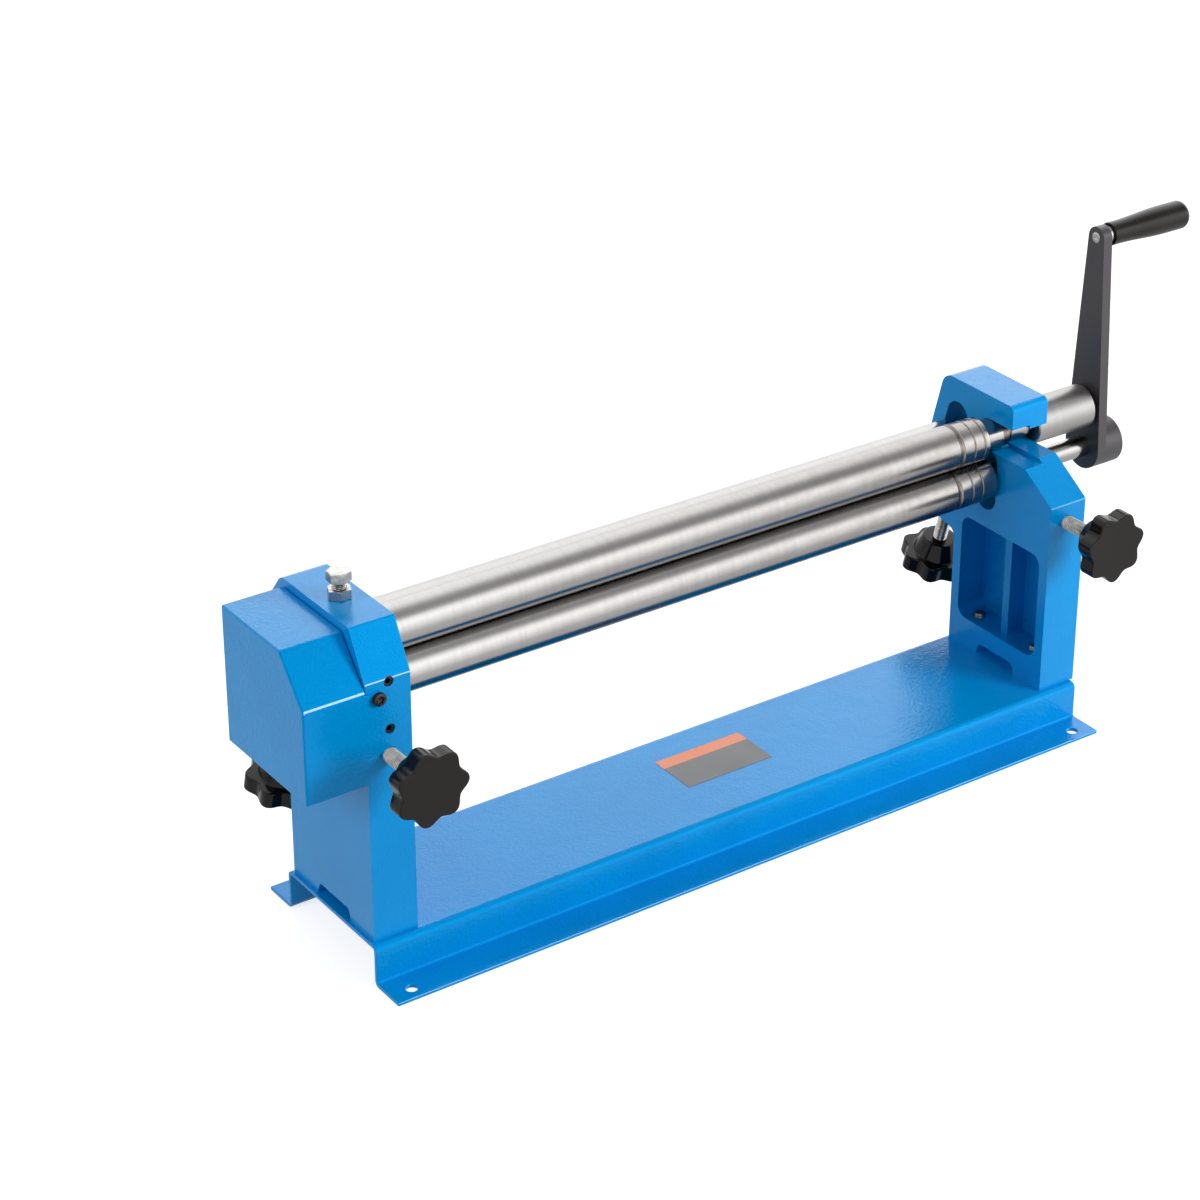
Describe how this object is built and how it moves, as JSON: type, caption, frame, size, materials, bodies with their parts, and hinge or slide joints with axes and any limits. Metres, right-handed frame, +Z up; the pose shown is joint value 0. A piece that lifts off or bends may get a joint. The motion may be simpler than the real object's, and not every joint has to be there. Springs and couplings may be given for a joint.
{
  "type": "slip roll machine",
  "caption": "Hand-cranked slip roll for bending sheet metal: geared front rolls and a rear forming roll between cast housings on a folded steel base",
  "frame": {"origin": "middle of the base's foot hole pattern, on the plane that rests on the bench", "axes": "+X along the rolls towards the crank, +Y to the rear roll, +Z up"},
  "size_m": [0.8899, 0.2473, 0.3988],
  "materials": {
    "blue_paint": "semi-gloss textured blue paint",
    "ground_steel": "ground and polished round steel",
    "gear_steel": "machined steel, oiled",
    "zinc": "bright zinc plating",
    "black_steel": "black oxide steel",
    "bearing_bronze": "machined bearing bronze",
    "crank_iron": "matte black cast surface",
    "black_plastic": "glossy black moulded plastic"
  },
  "bodies": {
    "root": {"base_channel": "blue_paint", "left_housing": "blue_paint", "right_housing": "blue_paint", "housing_bolts": "zinc", "housing_washers": "zinc", "gear_cover": "blue_paint", "cover_screw": "black_steel", "clamp_bolt": "zinc", "clamp_jam_nut": "zinc", "block_set_screws": "black_steel"},
    "lower_carriage": {"lower_left_block": "bearing_bronze", "lower_right_block": "bearing_bronze"},
    "lower_rotor": {"lower_roll": "ground_steel", "lower_gear": "gear_steel", "lower_gear_key": "gear_steel", "lower_gear_ring": "black_steel", "crank_arm": "crank_iron", "crank_set_screw": "black_steel", "grip_pin": "zinc"},
    "grip": {"hand_grip": "black_plastic"},
    "top_carriage": {"top_left_block": "bearing_bronze"},
    "top_rotor": {"top_roll": "ground_steel", "top_gear": "gear_steel", "top_gear_key": "gear_steel", "top_gear_ring": "black_steel"},
    "rear_carriage": {"rear_left_block": "bearing_bronze", "rear_right_block": "bearing_bronze"},
    "rear_rotor": {"rear_roll": "ground_steel"},
    "front_left_feed": {"front_left_screw": "zinc"},
    "front_left_handle": {"front_left_knob": "black_plastic"},
    "front_right_feed": {"front_right_screw": "zinc"},
    "front_right_handle": {"front_right_knob": "black_plastic"},
    "rear_left_feed": {"rear_left_screw": "zinc"},
    "rear_left_handle": {"rear_left_knob": "black_plastic"},
    "rear_right_feed": {"rear_right_screw": "zinc"},
    "rear_right_handle": {"rear_right_knob": "black_plastic"}
  },
  "joints": [
    {"name": "front_left_screw_feed", "type": "slide", "parent": "root", "child": "front_left_feed", "axis": [0, 1, 0], "range_m": [-0.0078, 0.0024]},
    {"name": "front_left_knob_turn", "type": "hinge", "parent": "front_left_feed", "child": "front_left_handle", "pos_m": [-0.3165, -0.117, 0.185], "axis": [0, 1, 0], "range_deg": [-1560, 440]},
    {"name": "rear_left_screw_feed", "type": "slide", "parent": "root", "child": "rear_left_feed", "axis": [0, -0.2588, 0.9659], "range_m": [-0.0084, 0.0244]},
    {"name": "rear_left_knob_turn", "type": "hinge", "parent": "rear_left_feed", "child": "rear_left_handle", "pos_m": [-0.3165, 0.10712, 0.07252], "axis": [0, -0.2588, 0.9659], "range_deg": [-1660, 4955]},
    {"name": "front_right_screw_feed", "type": "slide", "parent": "root", "child": "front_right_feed", "axis": [0, 1, 0], "range_m": [-0.0078, 0.0024]},
    {"name": "front_right_knob_turn", "type": "hinge", "parent": "front_right_feed", "child": "front_right_handle", "pos_m": [0.3225, -0.117, 0.185], "axis": [0, 1, 0], "range_deg": [-1560, 440]},
    {"name": "rear_right_screw_feed", "type": "slide", "parent": "root", "child": "rear_right_feed", "axis": [0, -0.2588, 0.9659], "range_m": [-0.0084, 0.0244]},
    {"name": "rear_right_knob_turn", "type": "hinge", "parent": "rear_right_feed", "child": "rear_right_handle", "pos_m": [0.3225, 0.10712, 0.07252], "axis": [0, -0.2588, 0.9659], "range_deg": [-1660, 4955]},
    {"name": "lower_lift", "type": "slide", "parent": "root", "child": "lower_carriage", "axis": [0, 0, 1], "range_m": [-0.0025, 0.0007]},
    {"name": "lower_spin", "type": "hinge", "parent": "lower_carriage", "child": "lower_rotor", "pos_m": [0, 0.0225, 0.1998], "axis": [1, 0, 0], "continuous": true},
    {"name": "grip_spin", "type": "hinge", "parent": "lower_rotor", "child": "grip", "pos_m": [0.463, 0.0225, 0.3868], "axis": [1, 0, 0], "continuous": true},
    {"name": "top_swing", "type": "hinge", "parent": "root", "child": "top_carriage", "pos_m": [-0.358, 0.0225, 0.2378], "axis": [0, 0, -1], "range_deg": [0, 4]},
    {"name": "top_spin", "type": "hinge", "parent": "top_carriage", "child": "top_rotor", "pos_m": [0, 0.0225, 0.2378], "axis": [1, 0, 0], "continuous": true},
    {"name": "rear_lift", "type": "slide", "parent": "root", "child": "rear_carriage", "axis": [0, -0.2588, 0.9659], "range_m": [-0.008, 0.024]},
    {"name": "rear_spin", "type": "hinge", "parent": "rear_carriage", "child": "rear_rotor", "pos_m": [0, 0.069, 0.2148], "axis": [1, 0, 0], "continuous": true}
  ],
  "couplings": [
    {"joint": "front_left_screw_feed", "follows": "lower_lift", "ratio": 3},
    {"joint": "front_left_knob_turn", "follows": "lower_lift", "rad_per_m": 10771},
    {"joint": "front_right_screw_feed", "follows": "lower_lift", "ratio": 3},
    {"joint": "front_right_knob_turn", "follows": "lower_lift", "rad_per_m": 10771},
    {"joint": "rear_left_screw_feed", "follows": "rear_lift", "ratio": 1},
    {"joint": "rear_left_knob_turn", "follows": "rear_lift", "rad_per_m": 3590.4},
    {"joint": "rear_right_screw_feed", "follows": "rear_lift", "ratio": 1},
    {"joint": "rear_right_knob_turn", "follows": "rear_lift", "rad_per_m": 3590.4},
    {"joint": "top_spin", "follows": "lower_spin", "ratio": -1}
  ]
}
